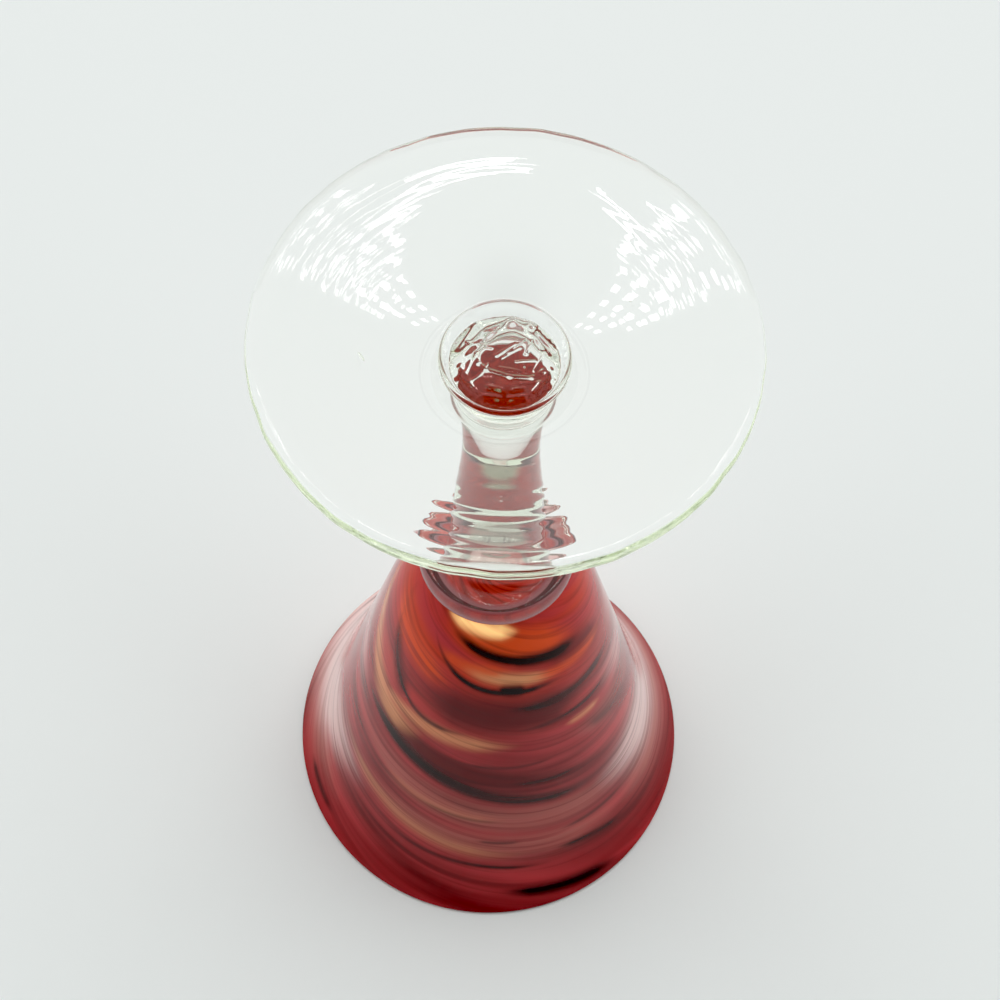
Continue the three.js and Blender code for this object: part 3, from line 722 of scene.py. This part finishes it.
def wound_glass(colours):
    """Red cased glass with trails of other colours wound on hot and rolled flush.

    To the eye it is deep and glossy, with soft streaks that are drawn out along the winding. Some of the
    colour is painted light: a pale sheen on the sides, a glowing trail next to the button, a mauve ring in
    the base that stands for a reflection, and reds that brighten towards the button.
    """
    material, tree = new_material("Red cased glass, trailed and marvered")
    broad = wound_streaks(tree, *BROAD_STREAKS)
    fine = wound_streaks(tree, *FINE_STREAKS)
    height = add_node(tree, "Attribute", attribute_name="height").outputs["Fac"]
    start, end = MOTTLE_SPAN
    mottle = add_node(tree, "MapRange", {"Value": broad, "From Min": start, "From Max": end}).outputs[0]
    low = add_node(
        tree, "Mix", {0: mottle, 6: (*colours.maroon, 1), 7: (*colours.crimson, 1)}, data_type="RGBA"
    ).outputs[2]
    high = add_node(
        tree, "Mix", {0: mottle, 6: (*colours.crimson, 1), 7: (*colours.red, 1)}, data_type="RGBA"
    ).outputs[2]
    # Painted light: the reds brighten towards the button
    start, end = CROWN_SPAN
    crown = add_node(tree, "MapRange", {"Value": height, "From Min": start, "From Max": end}).outputs[0]
    tone = add_node(tree, "Mix", {0: crown, 6: low, 7: high}, data_type="RGBA").outputs[2]
    feather = add_node(tree, "MapRange", {"Value": fine, "To Min": -FEATHER, "To Max": FEATHER}).outputs[0]
    for layer in TRAIL_COLOURS:
        trail = add_node(tree, "Attribute", attribute_name="trail_" + layer).outputs["Fac"]
        frayed = add_node(tree, "Math", {0: trail, 1: feather, 2: trail}, operation="MULTIPLY_ADD")
        shape = add_node(
            tree,
            "MapRange",
            {"Value": frayed.outputs[0], "From Min": 0.0, "From Max": 1.0},
            interpolation_type="SMOOTHSTEP",
        ).outputs[0]
        shade = (*getattr(colours, layer), 1)
        tone = add_node(tree, "Mix", {0: shape, 6: tone, 7: shade}, data_type="RGBA").outputs[2]
    start, end = LINE_SPAN
    lines = add_node(
        tree,
        "MapRange",
        {"Value": fine, "From Min": start, "From Max": end, "To Min": LINE_DEPTH, "To Max": 0.0},
    ).outputs[0]
    tone = add_node(tree, "Mix", {0: lines, 6: tone, 7: (*colours.black, 1)}, data_type="RGBA").outputs[2]
    inward = add_node(tree, "Attribute", attribute_name="under_button").outputs["Fac"]
    start, end = ARC_SPAN
    arcs = add_node(
        tree,
        "MapRange",
        {"Value": fine, "From Min": start, "From Max": end, "To Min": ARC_LEAST, "To Max": 1.0},
    ).outputs[0]
    middle = add_node(
        tree, "Mix", {0: arcs, 6: (*colours.maroon, 1), 7: (*colours.base_red, 1)}, data_type="RGBA"
    ).outputs[2]
    # The mauve ring among these is a painted reflection
    rings = [((*getattr(colours, name), 1), start, end) for name, start, end in BASE_RINGS]
    for shade, start, end in [*rings, (middle, *BASE_MIDDLE)]:
        amount = add_node(tree, "MapRange", {"Value": inward, "From Min": start, "From Max": end})
        tone = add_node(tree, "Mix", {0: amount.outputs[0], 6: tone, 7: shade}, data_type="RGBA").outputs[2]
    bare = add_node(tree, "Attribute", attribute_name="bare").outputs["Fac"]
    pale = (*colours.base_pale, 1)
    tone = add_node(tree, "Mix", {0: bare, 6: tone, 7: pale}, data_type="RGBA").outputs[2]
    gloss = add_node(
        tree, "MapRange", {"Value": inward, "From Max": GLOSS_END, "To Min": GLOSS, "To Max": 0.0}
    ).outputs[0]
    # Painted glow: the glow trail lights itself by emission
    painted_glow_mask = add_node(tree, "Attribute", attribute_name="trail_painted_glow").outputs["Fac"]
    lit = add_node(
        tree, "MapRange", {"Value": painted_glow_mask, "From Min": GLOW_START, "To Max": GLOW_LIGHT}
    ).outputs[0]
    shader = add_node(
        tree,
        "BsdfPrincipled",
        {
            "Base Color": tone,
            "Roughness": WOUND_ROUGHNESS,
            "IOR": GLASS_IOR,
            "Specular IOR Level": gloss,
            "Transmission Weight": WOUND_CLEAR,
            "Emission Color": (*colours.painted_glow, 1),
            "Emission Strength": lit,
        },
    )
    add_node(tree, "OutputMaterial", {"Surface": shader.outputs[0]})
    return material


def painted_board(colours):
    """Board with pale matt paint. To the eye it is even and without gloss."""
    material, tree = new_material("Pale board, matt paint")
    paint = {"Base Color": (*colours.floor, 1), "Roughness": BOARD_ROUGHNESS}
    shader = add_node(tree, "BsdfPrincipled", paint)
    add_node(tree, "OutputMaterial", {"Surface": shader.outputs[0]})
    return material


# Operators


class GOBLET_OT_clear_glass(bpy.types.Operator):
    """Builds the foot, foot button, stem and bowl button as one fused piece of clear glass"""

    bl_idname = "goblet.clear_glass"
    bl_label = "Clear Glass"

    def execute(self, context):
        sizes = context.scene.goblet_sizes
        piece = revolve("clear_foot_and_stem", clear_outline(sizes), hand_marks(sizes))
        blow_seeds(piece.data)
        piece.data.materials.append(soda_lime_glass(context.scene.goblet_colours))
        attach(piece, "root")
        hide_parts("foot", "foot_button", "stem", "bowl_button")
        return {"FINISHED"}


class GOBLET_OT_bowl(bpy.types.Operator):
    """Builds the bowl with its wound colour"""

    bl_idname = "goblet.bowl"
    bl_label = "Bowl"

    def execute(self, context):
        sizes = context.scene.goblet_sizes
        piece = revolve("wound_bowl", bowl_outline(sizes))
        wind_colour(sizes, piece.data)
        piece.data.materials.append(wound_glass(context.scene.goblet_colours))
        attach(piece, "root")
        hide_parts("bowl_coat", "bowl_lining", *TRAIL_NODES)
        return {"FINISHED"}


# Stage

PITCH = math.radians(64.276)  # of the camera, below the horizon
YAW = math.radians(0.094)
ROLL = math.radians(-2.614)
CAMERA_AT = Vector((0, -0.12968, 0.39488))
LENS = 61.79  # mm
SENSOR = 36  # mm
CLIP_START = 0.01
FLOOR_HALF = 3.0
FLOOR_LEVEL = -0.1 * MM  # just below the rim, so that the two don't share a plane
FAR_BOUNCES = 32  # light runs to and fro in the foot before it leaves by the edge
SKY = (0.98, 1.0, 0.992, 1)
SKY_BRIGHT = 1.21
SKY_DARK = 0.04
DARK_SIDE = (0, -0.82, 0.57)  # middle of the dim part of the room, behind and above the camera
DARK_SPAN = (0.55, 0.9)  # cosine of the angle from there, where the room begins to dim and is darkest
BLACK_LEVEL = 0.018  # of the curve that darkens the deepest tones
LAMP_LEVEL = 1.1
LAMP_RADIANCE = 10.0
LAMP_ROWS = (0.27, 0.345, 0.42)  # how far behind the glass each row of square lamps hangs
LAMP_COLUMNS = (3, 4, 5, 6, 7, 8)  # to both sides, numbered from the middle, which is left free
LAMP_SIZE = 0.03
LAMP_PITCH = 0.075
TUBE_ROWS = (0.29, 0.315)  # how far behind the glass the tube lamps hang
TUBES = ((0.1, 0.24), (-0.15, 0.15))  # middle and length of the tubes in a row
TUBE_WIDTH = 0.012
VEIL_RADIANCE = 0.25  # of the faint panel that each group of square lamps hangs in


class GOBLET_OT_stage(bpy.types.Operator):
    """Sets out the floor, the lights, the surroundings and the camera"""

    bl_idname = "goblet.stage"
    bl_label = "Stage"

    def execute(self, context):
        scene = context.scene
        scene.view_settings.view_transform = "Standard"
        scene.view_settings.use_curve_mapping = True
        scene.view_settings.curve_mapping.black_level = (BLACK_LEVEL,) * 3
        scene.cycles.max_bounces = FAR_BOUNCES
        scene.cycles.glossy_bounces = FAR_BOUNCES
        scene.cycles.transmission_bounces = FAR_BOUNCES
        self.floor(scene)
        self.surroundings(scene)
        self.lights(scene)
        self.camera(scene)
        return {"FINISHED"}

    def floor(self, scene):
        """Lays the floor that the rim stands on."""
        mesh = bpy.data.meshes.new("floor")
        signs = ((-1, -1), (1, -1), (1, 1), (-1, 1))
        corners = [(x * FLOOR_HALF, y * FLOOR_HALF, FLOOR_LEVEL) for x, y in signs]
        mesh.from_pydata(corners, [], [(0, 1, 2, 3)])
        mesh.materials.append(painted_board(scene.goblet_colours))
        floor = bpy.data.objects.new("floor", mesh)
        scene.collection.objects.link(floor)

    def surroundings(self, scene):
        """Makes a bright room that is dim on the camera's side."""
        world = bpy.data.worlds.new("Studio")
        world.use_nodes = True
        tree = world.node_tree
        tree.nodes.clear()
        place = add_node(tree, "TexCoord").outputs["Generated"]
        towards = add_node(tree, "VectorMath", {0: place, 1: DARK_SIDE}, operation="DOT_PRODUCT")
        start, end = DARK_SPAN
        bright = add_node(
            tree,
            "MapRange",
            {
                "Value": towards.outputs["Value"],
                "From Min": start,
                "From Max": end,
                "To Min": SKY_BRIGHT,
                "To Max": SKY_DARK,
            },
            interpolation_type="SMOOTHSTEP",
        ).outputs[0]
        sky = add_node(tree, "Background", {"Color": SKY, "Strength": bright})
        add_node(tree, "OutputWorld", {"Surface": sky.outputs[0]})
        scene.world = world

    def lights(self, scene):
        """Hangs square lamps, each group of them in a faint panel, and tubes overhead.

        The foot mirrors the lamps as glints, the panels as a pale veil and the tubes as streaks.
        """
        columns = [side * column for side in (-1, 1) for column in LAMP_COLUMNS]
        spots = [(column * LAMP_PITCH, row) for row in LAMP_ROWS for column in columns]
        lamps = [("RECTANGLE", *spot, LAMP_SIZE, LAMP_SIZE, LAMP_RADIANCE) for spot in spots]
        tubes = [(middle, row, reach) for row in TUBE_ROWS for middle, reach in TUBES]
        lamps += [("ELLIPSE", *tube, TUBE_WIDTH, LAMP_RADIANCE) for tube in tubes]
        reach = (LAMP_COLUMNS[-1] - LAMP_COLUMNS[0] + 1) * LAMP_PITCH
        depth = LAMP_ROWS[-1] - LAMP_ROWS[0] + LAMP_PITCH
        middle = (LAMP_COLUMNS[0] + LAMP_COLUMNS[-1]) / 2 * LAMP_PITCH
        row = (LAMP_ROWS[0] + LAMP_ROWS[-1]) / 2
        lamps += [("RECTANGLE", side * middle, row, reach, depth, VEIL_RADIANCE) for side in (-1, 1)]
        for shape, x, y, along, across, radiance in lamps:
            lamp_light = bpy.data.lights.new("lamp", "AREA")
            lamp_light.shape = shape
            lamp_light.size = along
            lamp_light.size_y = across
            lamp_light.energy = radiance * math.pi * along * across
            lamp = bpy.data.objects.new("lamp", lamp_light)
            lamp.location = (x, y, LAMP_LEVEL)
            scene.collection.objects.link(lamp)

    def camera(self, scene):
        """Sets the camera where the photograph's was."""
        ahead = math.cos(PITCH)
        forward = Vector((math.sin(YAW) * ahead, math.cos(YAW) * ahead, -math.sin(PITCH)))
        level = Vector((math.cos(YAW), -math.sin(YAW), 0))
        down = forward.cross(level)
        right = math.cos(ROLL) * level + math.sin(ROLL) * down
        up = math.sin(ROLL) * level - math.cos(ROLL) * down
        data = bpy.data.cameras.new("camera")
        data.lens = LENS
        data.sensor_width = SENSOR
        data.clip_start = CLIP_START
        camera = bpy.data.objects.new("camera", data)
        turn = Matrix((right, up, -forward)).transposed().to_4x4()
        camera.matrix_world = Matrix.Translation(CAMERA_AT) @ turn
        scene.collection.objects.link(camera)
        scene.camera = camera


class GOBLET_PT_panel(bpy.types.Panel):
    """Lists the goblet's pieces, sizes and colours"""

    bl_label = "Water Goblet"
    bl_idname = "GOBLET_PT_panel"
    bl_space_type = "VIEW_3D"
    bl_region_type = "UI"
    bl_category = "Goblet"

    def draw(self, context):
        column = self.layout.column(align=True)
        for operator in OPERATORS:
            column.operator(operator.bl_idname)
        for group in (context.scene.goblet_sizes, context.scene.goblet_colours):
            column.separator()
            for name in group.bl_rna.properties.keys():
                if name not in ("rna_type", "name"):
                    column.prop(group, name)


OPERATORS = (GOBLET_OT_stage, GOBLET_OT_clear_glass, GOBLET_OT_bowl)
CLASSES = (GobletSizes, GobletColours, *OPERATORS, GOBLET_PT_panel)


def register():
    for cls in CLASSES:
        bpy.utils.register_class(cls)
    bpy.types.Scene.goblet_sizes = bpy.props.PointerProperty(type=GobletSizes)
    bpy.types.Scene.goblet_colours = bpy.props.PointerProperty(type=GobletColours)


def unregister():
    del bpy.types.Scene.goblet_colours
    del bpy.types.Scene.goblet_sizes
    for cls in reversed(CLASSES):
        bpy.utils.unregister_class(cls)


def main():
    register()
    bpy.ops.goblet.stage()
    bpy.ops.goblet.clear_glass()
    bpy.ops.goblet.bowl()


if __name__ == "__main__":
    main()
